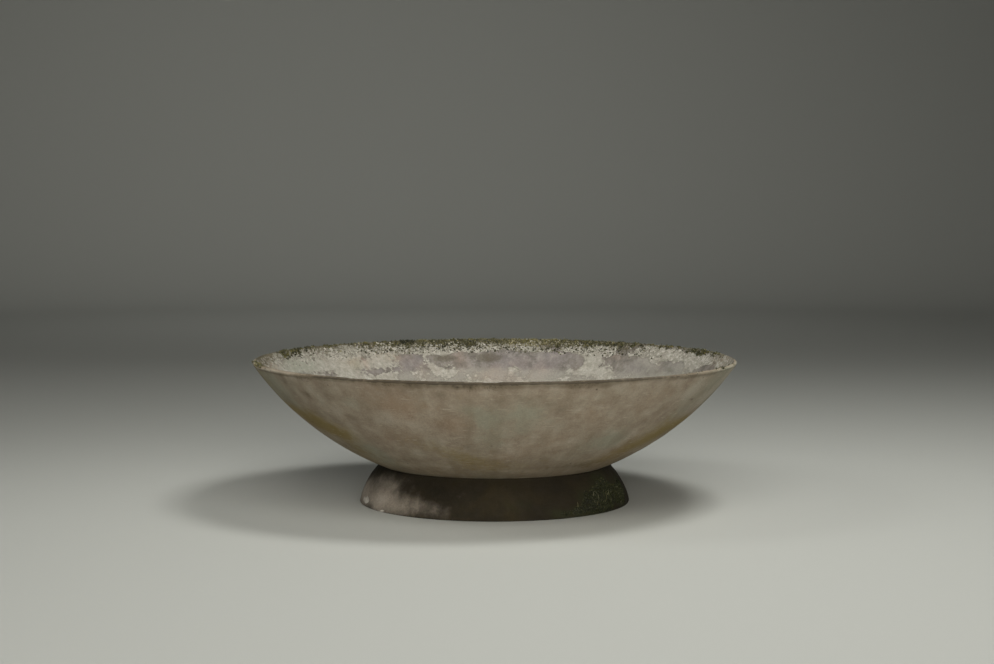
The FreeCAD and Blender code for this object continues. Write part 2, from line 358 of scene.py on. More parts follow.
def bowl_fields(azimuth, below, depth):
    """Every effect at these points, mostly 0 to 1: noise, a liking for some heights, and spots, added up.

    Lime and cast are signed: crust stayed on where lime is above 0, and cast runs from greenish to rosy.
    """
    place = bowl_place(azimuth, below, depth)
    inner = np.clip(depth / BOWL_WALL, 0, 1)

    def spots(outside, inside):
        """Spots of one table outside and of another inside."""
        return np.where(inner > 0.5, blots(azimuth, below, inside), blots(azimuth, below, outside))

    lime = rough_noise(place * (1, 1, 0.8), LIME_PATCH, 5, 11) * 1.15 + blots(azimuth, below, LIME_SPOTS)
    lime += np.interp(below, np.array(LIME_HEIGHTS) * MM, LIME_LIKING)
    behind = 0.55 + 0.45 * np.sin(azimuth)
    band = rise(below, 36 * MM, 2 * MM) * (0.15 + 0.55 * behind) * (0.35 + 0.65 * inner)
    moss = band + blots(azimuth, below, MOSS_SPOTS) * inner + rough_noise(place, 34 * MM, 4, 21) * 0.38
    # Painted light: grime is a quarter weaker on the right, which the lamps light only weakly.
    painted_light_on_right = 1 - 0.25 * rise(np.cos(azimuth), 0.3, 0.9)
    grime = rise(below, 62 * MM, 6 * MM) * painted_light_on_right + rough_noise(place, 50 * MM, 3, 26) * 0.45
    drip = rough_noise(np.stack([np.cos(azimuth), np.sin(azimuth), below * 0.6], -1), 0.06, 4, 31)
    front = rise(-np.sin(azimuth), -0.2, 0.3)
    between_tips = rise(np.cos(azimuth), -0.82, -0.6) * rise(np.cos(azimuth), 0.92, 0.55)
    lip_stain = rise(below, 3.5 * MM, 0) * between_tips * (0.5 + 0.6 * front)
    inner_edge = rise(depth, 6.5 * MM, 8.5 * MM) * rise(below, 4 * MM, 1 * MM) * 0.6
    run_off = rise(below, (16 + 14 * drip) * MM, 1 * MM) * 0.45 * (1 - inner)
    ochre = rise(rough_noise(place, 190 * MM, 3, 41), 0.12, 0.6) * 0.4
    ochre += rise(below, 210 * MM, 380 * MM) * 0.3
    haze = rise(rough_noise(place, 120 * MM, 4, 51), -0.1, 0.6) * 0.5
    film = rise(below, 74 * MM, 118 * MM) * rise(below, 480 * MM, 260 * MM) * inner
    silt = rise(below, 330 * MM, 640 * MM) * 1.2 * inner + rough_noise(place, 80 * MM, 3, 58) * 0.3
    return {
        "lime": lime,
        "moss": moss,
        "grime": grime,
        "stain": run_off + lip_stain + inner_edge + spots(STAIN_SPOTS, INNER_STAIN_SPOTS),
        "ochre": ochre + spots(OCHRE_SPOTS, INNER_WARM_SPOTS),
        # Pale haze and film, plus painted highlights from the outside spots.
        "pale_and_lit": haze + film + spots(PALE_AND_LIT_SPOTS, FILM_SPOTS),
        "cast": rough_noise(place, 130 * MM, 4, 56) * 0.8 + spots(CAST_SPOTS, INNER_CAST_SPOTS),
        "streak": 0.5 + 0.5 * drip,
        "silt": silt,
    }


lip_front = bowl_fields(np.array([-np.pi / 2]), np.zeros(1), np.zeros(1))
print("front of the lip:", {label: round(float(values[0]), 2) for label, values in lip_front.items()})

# %% [markdown]
# ## Relief
# The wall waves a little, as a sheet pressed by hand does, and carries trowel marks. Inside, the lime
# stands about a millimetre proud, and the lip is nicked. A Displace modifier could do this with textures,
# but here the relief reads the same fields as the finish, so the two always match. Where the bowl lies on
# its ring, the waves and the trowel marks fade out, so that it still fits its seat.

# %% Relief of the bowl
# The trowel marks come back over this stretch to either side of the seat.
SEAT_MARGIN = (25 * MM, 90 * MM)


def weathered_bowl(azimuth, below, depth, fields):
    """The bowl with its relief: wavy wall, trowel marks, lime that stands proud and a nicked lip.

    Wave, trowel marks, crust and grain are noise that changes the depth; nicks lower the lip.
    """
    place = bowl_place(azimuth, below, depth)
    inner = np.clip(depth / BOWL_WALL, 0, 1)
    from_seat = np.abs(np.hypot(place[:, 0], place[:, 1]) - FOOT_TOP_RADIUS)
    free = np.maximum(rise(from_seat, *SEAT_MARGIN), inner)
    wave = rough_noise(place, 430 * MM, 2, 61) * 1.5 * MM * rise(below, 330 * MM, 60 * MM)
    trowel = rough_noise(place, 85 * MM, 3, 71) * 0.7 * MM * (1 - inner) * free
    crust = rise(fields["lime"], -0.03, 0.10) * (0.8 + 0.4 * rough_noise(place, 16 * MM, 2, 81)) * MM
    grain = rough_noise(place, 20 * MM, 3, 91) * 0.45 * MM
    new_depth = depth - wave - trowel + inner * (crust + grain)
    nick = rise(rough_noise(place, 45 * MM, 4, 101), 0.3, 0.65) * 2.6 * MM
    ragged = np.abs(rough_noise(place, 18 * MM, 3, 111)) * 1.6 * MM
    lip_share = np.exp(-below / (8 * MM)) * (0.6 - 0.4 * np.cos(azimuth))
    return bowl_place(azimuth, below + lip_share * (nick + ragged), new_depth)


around = np.linspace(-np.pi, np.pi, bowl_columns, endpoint=False)
grid_azimuth = np.tile(around, len(row_below))
grid_below = np.repeat(row_below, bowl_columns)
grid_depth = np.repeat(row_depth, bowl_columns)
bowl_grid_fields = bowl_fields(grid_azimuth, grid_below, grid_depth)
for label, values in bowl_grid_fields.items():
    print(f"{label}: {values.min():.2f} to {values.max():.2f}, mean {values.mean():.2f}")

# %% [markdown]
# ## The bowl
# The grid, the fields and the relief come together in one closed mesh. It stands for the CAD bowl,
# which stays in the frame for collision but is no longer shown.

# %% Make the bowl
bowl = make_piece(
    "weathered_bowl",
    weathered_bowl(grid_azimuth, grid_below, grid_depth, bowl_grid_fields),
    grid_faces(len(row_below), bowl_columns),
    grid_map(len(row_below), bowl_columns),
    bowl_grid_fields,
    body="bowl",
)
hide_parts("bowl")

# %% [markdown]
# ## The foot ring
# The ring is a low band with swelling sides. Its section is four curves: the flank, the flat base, the
# inner face and a seat that follows the bowl. Revolving that outline would do for a new ring, but this
# one is worn: its base edge has crumbled unevenly and its left side is painted pale, partly for rubbing
# and partly as painted light. So the outline is carried round as rows of a grid, each row pushed along
# its own normal by noise, with the seat left alone because the bowl lies on it.

# %% The ring's outline
FOOT_BULGE = 9 * MM
FOOT_WALL = 12 * MM
SEAT_GAP = 0.3 * MM
FOOT_EDGE = 4 * MM
EDGE_POINTS = 8
FLANK_POINTS = 39
SEAT_POINTS = 8
INNER_POINTS = 24
BASE_POINTS = 5
CROSSING_POINTS = 2000


def arc(centre, radius, start, end, count):
    """Points (r, z) on a circle from one angle to another, in radians from level."""
    angle = np.linspace(start, end, count)
    return np.stack([centre[0] + radius * np.cos(angle), centre[1] + radius * np.sin(angle)], -1)


def angle_from(centre, point):
    """Direction of a point from a centre, in radians from level."""
    return np.arctan2(point[1] - centre[1], point[0] - centre[0])


def ring_outline():
    """The closed section: up the flank, in along the seat, down the inner face and out along the base."""
    base = np.array([foot_base_radius, 0])
    top = np.array([FOOT_TOP_RADIUS, foot_height])
    chord = np.linalg.norm(top - base)
    flank_radius = chord**2 / (8 * FOOT_BULGE) + FOOT_BULGE / 2
    outward = np.array([foot_height, foot_base_radius - FOOT_TOP_RADIUS]) / chord
    centre = (base + top) / 2 - outward * (flank_radius - FOOT_BULGE)
    inner_radius = flank_radius - FOOT_WALL
    seat_radius = sphere_radius + SEAT_GAP
    high_angle = angle_from(centre, top)
    inner_low = np.arcsin((0 - centre[1]) / inner_radius)
    # The inner face ends where it meets the seat's sphere: the crossing is read off a fine walk along it,
    # which goes on a little past the flank's top.
    climb = np.linspace(inner_low, high_angle + 0.3, CROSSING_POINTS)
    walk = arc(centre, inner_radius, climb[0], climb[-1], len(climb))
    inner_high = np.interp(-seat_radius, -np.hypot(walk[:, 0], walk[:, 1] - sphere_height), climb)
    inner = arc(centre, inner_radius, inner_high, inner_low, INNER_POINTS)
    start_angle = np.arcsin((FOOT_EDGE - centre[1]) / flank_radius)
    flank = arc(centre, flank_radius, start_angle, high_angle, FLANK_POINTS + 1)
    # The worn base corner is a curve from the floor, heading for the old corner, to the flank.
    share = np.linspace(0, 1, EDGE_POINTS + 1)[:-1, None]
    floor_point = base - (FOOT_EDGE, 0)
    corner = (1 - share) ** 2 * floor_point + 2 * share * (1 - share) * base + share**2 * flank[0]
    middle = np.array([0, sphere_height])
    seat = arc(middle, seat_radius, angle_from(middle, top), angle_from(middle, inner[0]), SEAT_POINTS)
    base_line = np.linspace(inner[-1], corner[0], BASE_POINTS)
    return np.concatenate([corner, flank[:-1], seat[:-1], inner[:-1], base_line[:-1]])


def outline_normals(outline):
    """Each point's outward normal: its neighbours' direction, turned a quarter."""
    along = np.roll(outline, -1, 0) - np.roll(outline, 1, 0)
    turned = np.stack([along[:, 1], -along[:, 0]], -1)
    return turned / np.linalg.norm(turned, axis=1, keepdims=True)


outline = ring_outline()
normals = outline_normals(outline)
widest, highest = outline.max(0) / MM
print(f"ring outline: {len(outline)} points, {highest:.1f} mm high, up to {widest:.1f} mm from the axis")

# %% [markdown]
# ## Wear, and painted light and shade, on the ring
# The same idea as on the bowl: fields that move the surface and that the finish reads. The ring stands
# in the bowl's shade, so most of it is dark and damp, and that shade is also painted in, darkest at the
# top under the bowl and at the foot. Light reaches its left flank, which is rubbed pale with a chip low
# down, and the pale there is partly painted light. Moss has settled on the right.

# %% Spots and fields of the ring
# Each row: degrees round, mm above the floor, half width and half height in mm, strength.
# Pale spots: rubbed cement, and on the left flank also painted light where light reaches it.
WORN_AND_LIT_SPOTS = (
    (-170, 34, 80, 38, 0.90), (-146, 28, 80, 38, 0.85), (-124, 22, 80, 26, 0.45),
    (-148, 74, 90, 18, 0.22), (75, 40, 90, 25, 0.50), (170, 30, 50, 30, 0.60),
)
RING_MOSS_SPOTS = (
    (-56, 12, 70, 14, 0.60), (-38, 28, 70, 32, 0.80), (-20, 34, 60, 30, 0.55),
    (-28, 66, 130, 40, 0.32), (30, 20, 50, 20, 0.50), (130, 16, 70, 16, 0.50),
)
CHIP_SPOTS = (
    (-163, 16, 24, 8, 1.2), (-145, 3, 14, 4, 0.6), (60, 3, 22, 6, 0.7),
)


def ring_fields(azimuth, height, place):
    """Wear, growth, and painted light and shade on the ring, mostly from 0 to 1: spots plus noise."""

    def spots(table):
        """Spots in true mm on the ring."""
        return blots(azimuth, height, table, foot_base_radius)

    clouds = rough_noise(place, 60 * MM, 4, 121)
    return {
        "worn_and_lit": spots(WORN_AND_LIT_SPOTS) + clouds * 0.24,
        "moss": spots(RING_MOSS_SPOTS) + rough_noise(place, 40 * MM, 4, 131) * 0.4,
        "chip": spots(CHIP_SPOTS) * rise(rough_noise(place, 30 * MM, 3, 141), -0.8, 0.2),
        # Painted shade darkens the top, under the bowl's overhang; at the foot, by the floor, it is damp
        # and painted shade.
        "shade_and_damp": rise(height, 12 * MM, 0) * 0.3 + rise(height, 60 * MM, 92 * MM) * 0.35 + clouds * 0.2,
    }


ring_tables = (WORN_AND_LIT_SPOTS, RING_MOSS_SPOTS, CHIP_SPOTS)
print(f"{sum(map(len, ring_tables))} spots on the ring")

# %% Make the ring
RING_COLUMNS = 1040


def weathered_ring(azimuth, index):
    """Outline points carried round the axis and pushed along their normals by lumps, crumbling and chips.

    Returns places and fields. Near the seat and on the floor nothing is pushed.
    """
    r, z = outline[index].T
    level, upward = normals[index].T
    turn = np.stack([np.cos(azimuth), np.sin(azimuth)], -1)
    place = np.column_stack([turn * r[:, None], z])
    fields = ring_fields(azimuth, z, place)
    from_seat = np.abs(np.hypot(r, z - sphere_height) - sphere_radius)
    free = rise(from_seat, 6 * MM, 20 * MM) * rise(z, 0.2 * MM, 4 * MM)
    lumps = (rough_noise(place, 90 * MM, 3, 151) - 0.5) * 1.6 * MM
    lumps += rough_noise(place, 14 * MM, 2, 161) * 0.4 * MM
    crumble = rise(z, 20 * MM, 0) * rise(rough_noise(place, 50 * MM, 3, 171), -0.2, 0.5) * 3 * MM
    push = free * (lumps - crumble - fields["chip"] * 5 * MM)
    direction = np.column_stack([turn * level[:, None], upward * rise(z, 0.2 * MM, 4 * MM)])
    return place + direction * push[:, None], fields


ring_around = np.linspace(-np.pi, np.pi, RING_COLUMNS, endpoint=False)
ring_azimuth = np.tile(ring_around, len(outline))
ring_index = np.repeat(np.arange(len(outline)), RING_COLUMNS)
ring_places, ring_grid_fields = weathered_ring(ring_azimuth, ring_index)
ring = make_piece(
    "weathered_foot_ring",
    ring_places,
    grid_faces(len(outline), RING_COLUMNS),
    grid_map(len(outline), RING_COLUMNS),
    ring_grid_fields,
    body="foot_ring",
)
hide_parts("foot_ring")

# %% [markdown]
# ## Growth as many small shapes
# Moss and lime flakes are thousands of small things of the same kind. Scattering instances would work
# in the view, but they have to be real mesh to be exported, so each kind is one small closed shape,
# repeated with its own size, turn and lean as one array. Each copy has a cell of the UV map for itself
# and a random tint that the finish reads.

# %% Frames and copies
SCATTER_SEED = 20
# A cell of the map is this many times as wide as a copy reaches from its middle.
CELL_ROOM = 2.1

scatter = np.random.default_rng(SCATTER_SEED)


def surface_frames(surface, azimuth, along):
    """Points of a surface with across, along and outward directions, from two tiny steps on it."""
    step = 0.5 * MM
    here = surface(azimuth, along)
    across = surface(azimuth + step / RIM_RADIUS, along) - here
    forward = surface(azimuth, along + step) - here
    across /= np.linalg.norm(across, axis=1, keepdims=True)
    out = np.cross(across, forward)
    out /= np.linalg.norm(out, axis=1, keepdims=True)
    return here, across, np.cross(out, across), out


def repeat_shape(name, shapes, faces, frames, tint, body, smooth=False):
    """One mesh of many copies. `shapes` is copies by points by 3, in metres across, along and out."""
    here, across, forward, out = frames
    copies, points = shapes.shape[:2]
    axes = np.stack([across, forward, out], 1)
    places = (np.einsum("npk,nkd->npd", shapes, axes) + here[:, None]).reshape(-1, 3)
    all_faces = (faces[None] + np.arange(copies)[:, None, None] * points).reshape(-1, faces.shape[1])
    # Each copy is drawn, seen from above, in its own cell of a square map.
    side = int(np.ceil(copies**0.5))
    cell = np.stack([np.arange(copies) % side, np.arange(copies) // side], -1) / side
    cell_width = np.abs(shapes[..., :2]).max() * CELL_ROOM
    flat = shapes[..., :2] / cell_width + 0.5
    spots = (cell[:, None] + flat / side).reshape(-1, 2)
    unrolled = spots[all_faces.ravel()]
    attributes = {"tint": np.repeat(tint, points)}
    return make_piece(name, places, all_faces, unrolled, attributes, body, smooth)


print("copies are scattered with seed", SCATTER_SEED)

# %% Leaning, turning and choosing


def leaning(shapes, lean):
    """Each copy tipped over, from its outward axis towards its first axis, by an angle."""
    c, s = np.cos(lean)[:, None], np.sin(lean)[:, None]
    x, y, z = np.moveaxis(shapes, -1, 0)
    return np.stack([x * c + z * s, y, z * c - x * s], -1)


def turned(shapes, turn):
    """Each copy turned about its outward axis by an angle."""
    c, s = np.cos(turn)[:, None], np.sin(turn)[:, None]
    x, y, z = np.moveaxis(shapes, -1, 0)
    return np.stack([x * c - y * s, x * s + y * c, z], -1)


def any_turn(copies):
    """Random angles all round."""
    return scatter.uniform(0, 2 * np.pi, copies)


def pick(weights, count):
    """Numbers of `count` points drawn without repeats, more often where the weight is higher."""
    return np.sort(scatter.choice(len(weights), count, replace=False, p=weights / weights.sum()))


def inner_surface(azimuth, along):
    """The inside by distance from the lip's inner corner; below 0 it runs over the corner onto the lip."""
    bend = np.hypot(along, 0.6 * LIP_ROUNDING)
    down = (along + bend) / 2
    depth = BOWL_WALL + (along - bend) / 2
    return weathered_bowl(azimuth, down, depth, bowl_fields(azimuth, down, depth))


print("scatter is seeded, first draw:", scatter.integers(1000))

# %% [markdown]
# ## Small shapes
# Four shapes are enough: a dome for a moss cushion, a tuft of spikes for its shoots, a bent stalk for
# dry grass and a thin plate for a flake of lime. Three of them are rings of points with a point over
# the last and one under the first, so one function closes them all. Particle hair could make shoots and
# stalks, but thin closed spikes keep the mesh solid and light.

# %% Shapes that repeat
CUSHION_SIDES = 7
FLAKE_SIDES = 7
TUFT_SPIKES = 6
# As shares of the length of a stalk or a spike.
STALK_BEND = 0.3
STALK_RADIUS = 0.035
SPIKE_SPREAD = 0.16
SPIKE_RADIUS = 0.15


def circle(sides):
    """Points of a level circle of radius 1."""
    turn = np.linspace(0, 2 * np.pi, sides, endpoint=False)
    return np.stack([np.cos(turn), np.sin(turn), turn * 0], -1)


def capped(rings, top, foot):
    """A closed skin of triangles: rings of points from foot to top, with a point over and one under."""
    count, sides = rings.shape[:2]
    points = np.concatenate([rings.reshape(-1, 3), [top, foot]])
    here = np.arange(sides)
    beside = np.roll(here, -1)
    lower = np.stack([here, beside, beside + sides], -1)
    upper = np.stack([here, beside + sides, here + sides], -1)
    walls = [np.concatenate([lower, upper]) + n * sides for n in range(count - 1)]
    last = (count - 1) * sides
    over = np.stack([here + last, beside + last, np.full(sides, count * sides)], -1)
    under = np.stack([beside, here, np.full(sides, count * sides + 1)], -1)
    return points, np.concatenate(walls + [over, under])


def dome(sides):
    """Half a ball of radius 1 with a dished foot: two rings, at the foot and halfway up."""
    climb = np.array([0, np.pi / 4])[:, None, None]
    return capped(circle(sides) * np.cos(climb) + np.sin(climb) * (0, 0, 1), (0, 0, 1), (0, 0, -0.3))


def plate(sides):
    """A flat plate of radius 1 and thickness 1, a little raised in the middle."""
    return capped(np.stack([circle(sides), circle(sides) + (0, 0, 1)]), (0, 0, 1.25), (0, 0, 0))


def stalk():
    """A three-sided stalk of length 1: upright at first, it bends as a parabola and tapers to a point."""
    share = np.array([0, 0.3, 0.6, 0.85])[:, None, None]
    path = share**2 * (STALK_BEND, 0, 0) + share * (0, 0, 1)
    rings = path + circle(3) * STALK_RADIUS * (1 - 0.6 * share)
    return capped(rings, (STALK_BEND, 0, 1), (0, 0, 0))


def shoot_tuft(spikes):
    """Closed three-sided spikes of length about 1, side by side in a ring and leaning outwards."""
    around = circle(spikes)[:, None]
    lean = np.resize([0.25, 0.75, 0.5], spikes)[:, None, None]
    base = around * SPIKE_SPREAD + circle(3) * SPIKE_RADIUS
    tip = around * np.sin(lean) + np.cos(lean) * (0, 0, 1)
    points = np.concatenate([base, tip], 1).reshape(-1, 3)
    one = np.array([[0, 1, 3], [1, 2, 3], [2, 0, 3], [0, 2, 1]])
    return points, (one + np.arange(spikes)[:, None, None] * 4).reshape(-1, 3)


cushion_points, cushion_faces = dome(CUSHION_SIDES)
plate_points, plate_faces = plate(FLAKE_SIDES)
stalk_points, stalk_faces = stalk()
tuft_points, tuft_faces = shoot_tuft(TUFT_SPIKES)
print("triangles each:", len(cushion_faces), len(plate_faces), len(stalk_faces), len(tuft_faces))

# %% [markdown]
# ## Moss on the rim
# Rain runs to the rim and stays in its pores, so moss settled in a speckled band just under it,
# thickest at the back. It is two things to the eye: low cushions a few millimetres across, from
# green-black to grey, and lighter shoots that stick out of them. Every point of a cushion is pulled in
# or out a little, so no two are alike.

# %% Where moss grows on the rim
CANDIDATES = 80_000
# From well onto the lip to this far down the inside, counted from the lip's inner corner.
MOSS_BAND_MM = (-8, 52)
# Above 0 the moss is yellow and dry, below 0 dark and damp.
TINT_SPOTS = (
    (80, 8, 90, 40, 0.35), (26, 14, 70, 40, -0.25), (151, 16, 70, 40, -0.20), (50, 10, 70, 40, -0.10),
    (114.5, 5, 22, 6, -0.90),
)
moss_azimuth = scatter.uniform(-np.pi, np.pi, CANDIDATES)
moss_along = scatter.uniform(*MOSS_BAND_MM, CANDIDATES) * MM
moss_fields = bowl_fields(moss_azimuth, np.maximum(moss_along, 0), np.full(CANDIDATES, BOWL_WALL))
moss_places = bowl_place(moss_azimuth, moss_along, np.full(CANDIDATES, BOWL_WALL))
# Clumps with gaps between them, which close up where moss grows best.
clumps = rise(rough_noise(moss_places, 11 * MM, 3, 181) + 0.6 * (moss_fields["moss"] - 0.5), -0.1, 0.25)
off_lip = 1 - 0.5 * rise(moss_along, 1 * MM, -2 * MM)
# Lower down, single dark cushions sit in the crust like pepper, mostly at the back.
pepper = 0.09 * rise(moss_along, 52 * MM, 24 * MM) * rise(np.sin(moss_azimuth), 0.6, 0.95)
moss_weight = (rise(moss_fields["moss"], 0.1, 0.8) * (0.12 + clumps) + pepper) * off_lip
moss_lean = blots(moss_azimuth, moss_along, TINT_SPOTS) - 0.3 * rise(moss_along, 20 * MM, 32 * MM)


def rim_frames(chosen):
    """Frames on the inner face at these candidates."""
    return surface_frames(inner_surface, moss_azimuth[chosen], moss_along[chosen])


print(f"mean liking for moss on the rim: {moss_weight.mean():.3f}")

# %% Make the rim's cushions
CUSHIONS = 6000
chosen = pick(moss_weight, CUSHIONS)
width = (0.7 + scatter.gamma(2.0, 0.5, CUSHIONS)).clip(0.8, 3.2) * MM
height = width * scatter.uniform(0.35, 0.7, CUSHIONS)
uneven = 1 + scatter.normal(0, 0.16, (CUSHIONS, len(cushion_points), 1))
stretch = np.stack([width, width, height], -1)[:, None]
cushions = turned(cushion_points * uneven * stretch, any_turn(CUSHIONS))
tint = np.clip(scatter.uniform(0, 1, CUSHIONS) + moss_lean[chosen], 0, 1)
rim_cushions = repeat_shape(
    "rim_moss_cushions", cushions, cushion_faces, rim_frames(chosen), tint, "bowl", smooth=True
)

# %% Make the rim's shoots
SHOOTS = 7000
chosen = pick(moss_weight**1.5, SHOOTS)
uneven = 1 + scatter.normal(0, 0.12, (SHOOTS, len(tuft_points), 1))
length = (1.2 + scatter.gamma(1.6, 1.0, (SHOOTS, 1, 1))).clip(1.2, 6.0) * MM
tufts = turned(tuft_points * uneven * length, any_turn(SHOOTS))
tint = np.clip(scatter.normal(0.5, 0.24, SHOOTS) + moss_lean[chosen], 0, 1)
rim_shoots = repeat_shape("rim_moss_shoots", tufts, tuft_faces, rim_frames(chosen), tint, "bowl")

# %% [markdown]
# ## Dry stalks
# A few blades of dry grass stand in the moss. Nearly all of them are placed by chance, but the longest
# one, near the middle of the back, leans to the right as it does on the real bowl.

# %% Make the stalks on the rim
STALKS = 70
LONG_STALK_DEGREES = 86
LONG_STALK_BELOW = 20 * MM
LONG_STALK = 25 * MM
LONG_LEAN = 1.2
LONG_TURN = -2.3
# The long one is a blade of grass, this much wider one way than a stalk of its length.
BLADE_WIDTH = 1.6
stalk_weight = moss_weight**2 * rise(moss_along, 16 * MM, 8 * MM) * (moss_along > 1 * MM)
from_spot = (moss_azimuth - np.radians(LONG_STALK_DEGREES)) * RIM_RADIUS
nearest = np.argmin(np.hypot(from_spot, moss_along - LONG_STALK_BELOW))
chosen = np.append(pick(stalk_weight, STALKS), nearest)
length = np.append(scatter.uniform(5, 13, STALKS) * MM, LONG_STALK)
lean = np.append(scatter.uniform(0.1, 1.0, STALKS), LONG_LEAN)
turn = np.append(any_turn(STALKS), LONG_TURN)
stalks = stalk_points * length[:, None, None]
stalks[-1] *= (1, BLADE_WIDTH, 1)
stalks = turned(leaning(stalks, lean), turn)
tint = scatter.uniform(0, 1, len(chosen))
rim_stalks = repeat_shape("rim_dry_stalks", stalks, stalk_faces, rim_frames(chosen), tint, "bowl")

# %% [markdown]
# ## Flakes of lime
# Lime from the cement has come to the inner face as a white crust, and near the rim it is coming off in
# scales. They carry the look of the inside: small plates, under a millimetre thick, that lift a little
# and throw fine shadows. They are laid on the crust in a band under the rim, and thinly along the
# crust's edges further down.

# %% Where the lime flakes off
FLAKE_BAND_MM = (7, 200)
flake_azimuth = scatter.uniform(-np.pi, np.pi, CANDIDATES)
flake_below = scatter.uniform(*FLAKE_BAND_MM, CANDIDATES) * MM
flake_places = bowl_place(flake_azimuth, flake_below, np.full(CANDIDATES, BOWL_WALL))
flake_fields = bowl_fields(flake_azimuth, flake_below, np.full(CANDIDATES, BOWL_WALL))
flake_lime = flake_fields["lime"]
# Scales hold in patches, and seldom where moss sits, at the two sides or under the front lip.
scales = rise(rough_noise(flake_places, 14 * MM, 3, 191), -0.3, 0.25) + 0.1
scales *= 1 - 0.8 * rise(flake_fields["moss"], 0.3, 0.75)
scales *= 1 - 0.7 * rise(np.abs(np.cos(flake_azimuth)), 0.95, 0.99)
scales *= np.maximum(rise(np.sin(flake_azimuth), -0.4, 0.0), rise(flake_below, 14 * MM, 30 * MM) * 0.6)
scaly = rise(flake_lime, -0.10, 0.15) * rise(flake_below, 58 * MM, 24 * MM) * scales
edges = np.exp(-(((flake_lime - 0.05) / 0.06) ** 2)) * rise(flake_below, 200 * MM, 40 * MM)
flake_weight = scaly + 0.04 * edges
print(f"mean liking for flakes: {flake_weight.mean():.3f}")

# %% Make the lime flakes
FLAKES = 5600
FLAKE_SINK = 0.25 * MM
chosen = pick(flake_weight, FLAKES)
width = (0.8 + scatter.gamma(1.7, 0.8, FLAKES)).clip(0.9, 5.5) * MM
thick = scatter.uniform(0.25, 0.6, FLAKES) * MM
stretch = np.stack([width * scatter.uniform(0.8, 1.8, FLAKES), width, thick], -1)
ragged_rim = 1 + scatter.normal(0, 0.25, (FLAKES, FLAKE_SIDES, 1)).clip(-0.55, 0.55)
ragged = np.concatenate([ragged_rim, ragged_rim, np.ones((FLAKES, 2, 1))], 1) * (1, 1, 0) + (0, 0, 1)
flakes = turned(plate_points * ragged * stretch[:, None], scatter.normal(0, 0.6, FLAKES))
lift = scatter.normal(0, 0.07, (FLAKES, 2))
flakes[..., 2] += (flakes[..., :2] * lift[:, None]).sum(-1) - FLAKE_SINK
frames = surface_frames(inner_surface, flake_azimuth[chosen], flake_below[chosen])
# Painted light: they are whiter on the right, which the lamps light only weakly.
flakes_painted_light = rise(np.cos(flake_azimuth[chosen]), 0.3, 0.9)
tint = np.clip(scatter.uniform(0, 1, FLAKES) + 0.3 * flakes_painted_light, 0, 1)
lime_flakes = repeat_shape("lime_flakes", flakes, plate_faces, frames, tint, "bowl")

# %% [markdown]
# ## Moss on the ring
# On the right of the ring, out of the sun, moss has taken hold in a ragged patch, with a few dry pale
# stalks in it. The same tufts and stalks are used, only placed by the ring's own moss field, from a few
# millimetres above the floor, so that nothing reaches under it.

# %% The ring's flank as a surface
FLANK_ROWS = EDGE_POINTS + FLANK_POINTS
flank_steps = np.linalg.norm(np.diff(outline[:FLANK_ROWS], axis=0), axis=1)
flank_walk = np.concatenate([[0], np.cumsum(flank_steps)])


def flank_row(along):
    """Row of the outline, with its fraction, at a distance up the flank."""
    return np.interp(along, flank_walk, np.arange(FLANK_ROWS))


def ring_surface(azimuth, along):
    """The ring's flank by distance up it: the place between the two outline points on either side."""
    spot = flank_row(along)
    first = np.floor(spot).astype(int).clip(0, FLANK_ROWS - 2)
    low, _ = weathered_ring(azimuth, first)
    high, _ = weathered_ring(azimuth, first + 1)
    return low + (high - low) * (spot - first)[:, None]


print(f"the flank is {flank_walk[-1] / MM:.1f} mm long")

# %% Make the ring's moss
RING_TUFTS = 4200
RING_CANDIDATES = 90_000
RING_BAND_MM = (7, 88)
tuft_azimuth = scatter.uniform(-np.pi, np.pi, RING_CANDIDATES)
tuft_along = scatter.uniform(*RING_BAND_MM, RING_CANDIDATES) * MM
_, tuft_fields = weathered_ring(tuft_azimuth, flank_row(tuft_along).astype(int))
tuft_weight = rise(tuft_fields["moss"], 0.42, 0.95)


def flank_frames(chosen):
    """Frames on the ring's flank at these candidates."""
    return surface_frames(ring_surface, tuft_azimuth[chosen], tuft_along[chosen])


chosen = pick(tuft_weight, RING_TUFTS)
uneven = 1 + scatter.normal(0, 0.12, (RING_TUFTS, len(tuft_points), 1))
length = scatter.uniform(1.8, 5.0, (RING_TUFTS, 1, 1)) * MM
tufts = turned(tuft_points * uneven * length, any_turn(RING_TUFTS))
tint = scatter.uniform(0, 1, RING_TUFTS)
ring_moss = repeat_shape("ring_moss", tufts, tuft_faces, flank_frames(chosen), tint, "foot_ring")

# %% Make the ring's stalks
RING_STALKS = 26
# They stand only low down and on the right.
chosen = pick(tuft_weight**2 * (tuft_along < 50 * MM) * (np.cos(tuft_azimuth) > 0.5), RING_STALKS)
lean = scatter.uniform(0.5, 1.2, RING_STALKS)
upwards = np.pi / 2 + scatter.normal(0, 0.4, RING_STALKS)
stalks = stalk_points * scatter.uniform(7, 16, (RING_STALKS, 1, 1)) * MM
stalks = turned(leaning(stalks, lean), upwards)
tint = scatter.uniform(0, 1, RING_STALKS)
ring_stalks = repeat_shape(
    "ring_dry_stalks", stalks, stalk_faces, flank_frames(chosen), tint, "foot_ring"
)

# %% [markdown]
# ## Finishes
# Each finish starts from a common material: how it was made, and what the weather did to it. One helper
# adds a node, sets what is plain and links what is not. Colours are written as sRGB hex, as a colour
# picker shows them, and turned to the linear values that shaders work with. Pattern sizes are real
# sizes in millimetres.

# %% A colour and a node


def linear(colour):
    """An sRGB hex colour as linear red, green, blue and alpha."""
    shown = np.array([int(colour[n : n + 2], 16) for n in (1, 3, 5)]) / 255
    light = np.where(shown <= 0.04045, shown / 12.92, ((shown + 0.055) / 1.055) ** 2.4)
    return (*light, 1.0)


